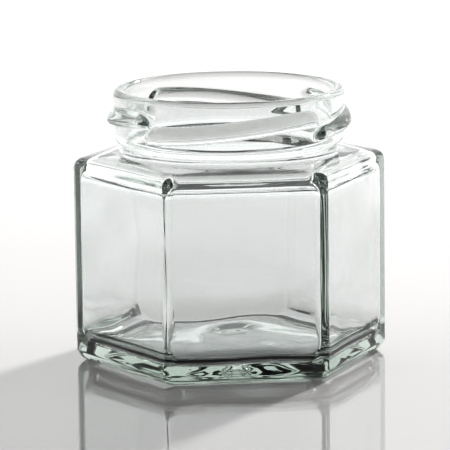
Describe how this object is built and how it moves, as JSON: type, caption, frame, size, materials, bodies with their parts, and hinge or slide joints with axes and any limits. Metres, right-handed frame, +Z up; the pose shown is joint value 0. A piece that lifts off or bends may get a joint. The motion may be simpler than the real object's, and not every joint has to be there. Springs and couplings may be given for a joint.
{
  "type": "hexagonal glass jar",
  "caption": "Small empty hexagonal glass jar with flat panels, a rounded shoulder, a round neck with slanted twist-off lugs and an open rounded lip; no lid.",
  "frame": {"origin": "centre of the flat bearing ring under the base, on the surface that the jar stands on", "axes": "+Z up through the mouth; one flat panel faces -Y and its opposite faces +Y; two of the upright corners lie on the X axis"},
  "size_m": [0.0742, 0.065, 0.065],
  "materials": {
    "glass": "polished moulded soda-lime glass, faintly green"
  },
  "bodies": {
    "root": {"jar": "glass"}
  },
  "joints": []
}
